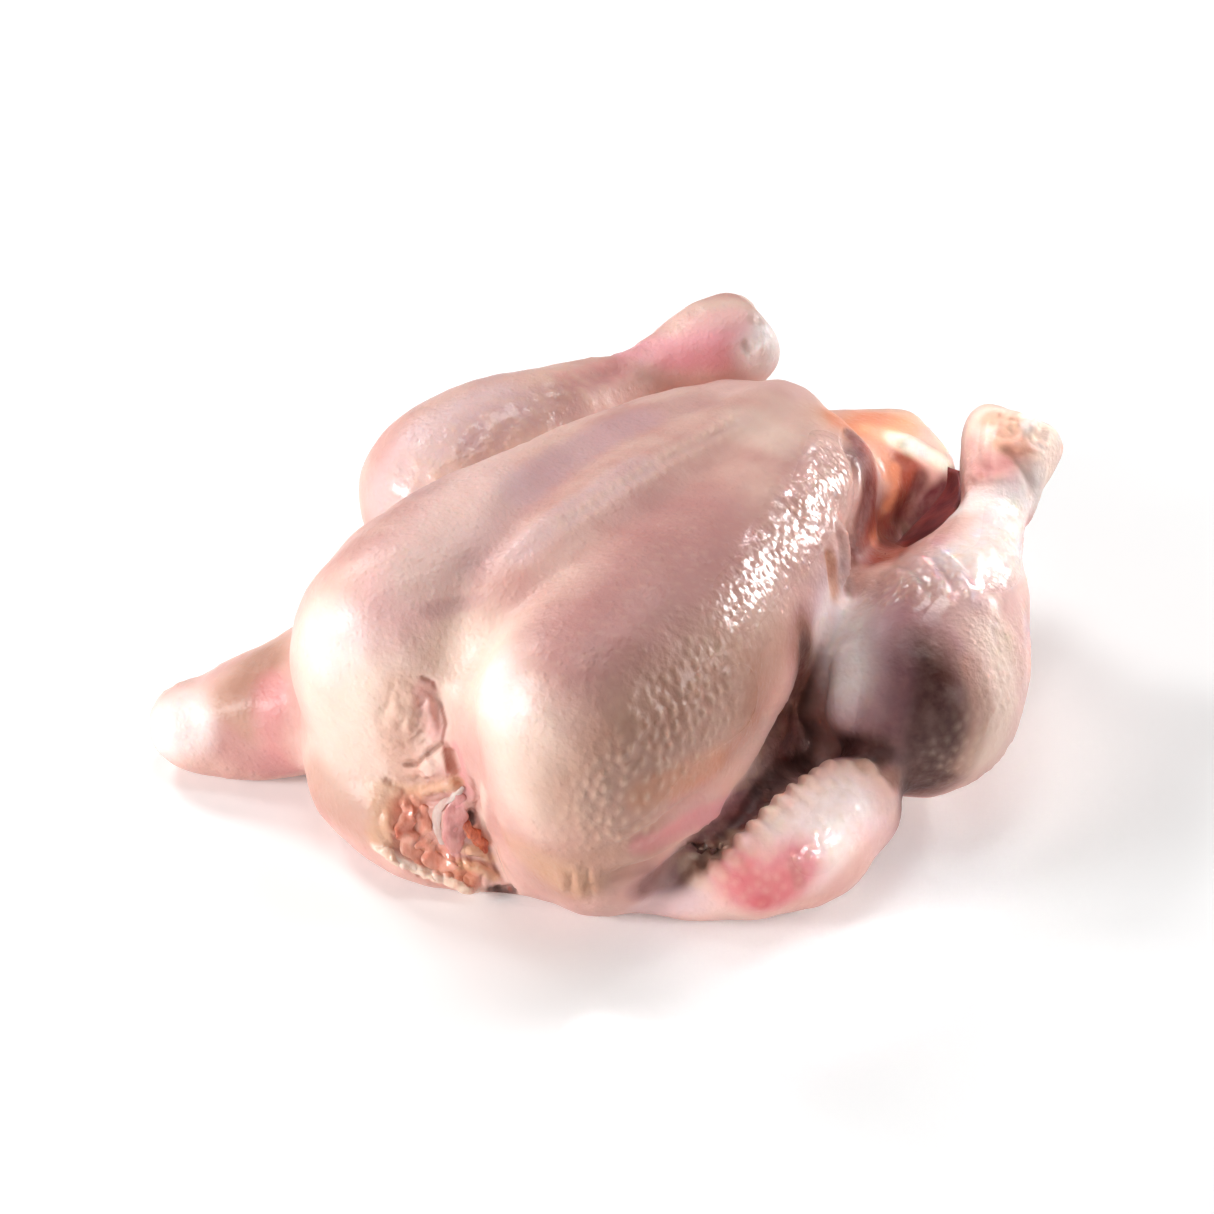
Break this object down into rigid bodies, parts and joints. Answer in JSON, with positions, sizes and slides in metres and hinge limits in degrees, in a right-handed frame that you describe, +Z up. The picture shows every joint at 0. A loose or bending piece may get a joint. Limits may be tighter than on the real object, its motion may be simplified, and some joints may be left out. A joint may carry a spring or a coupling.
{
  "type": "whole raw chicken",
  "caption": "Whole raw plucked chicken on its back, breast up, with legs raised to the tail, one wing folded against the side and one stretched out, and a torn neck opening.",
  "frame": {"origin": "middle of the bounding box, at the level the bird rests on", "axes": "+Z up, +Y towards the tail and legs, +X towards the bird's right side, which lies to the right seen from the neck"},
  "size_m": [0.2192, 0.232, 0.097],
  "materials": {
    "skin": "raw, moist, semi-gloss",
    "flesh": "raw, wet",
    "cartilage": "smooth, moist"
  },
  "bodies": {
    "root": {"chicken": "skin"}
  },
  "joints": []
}
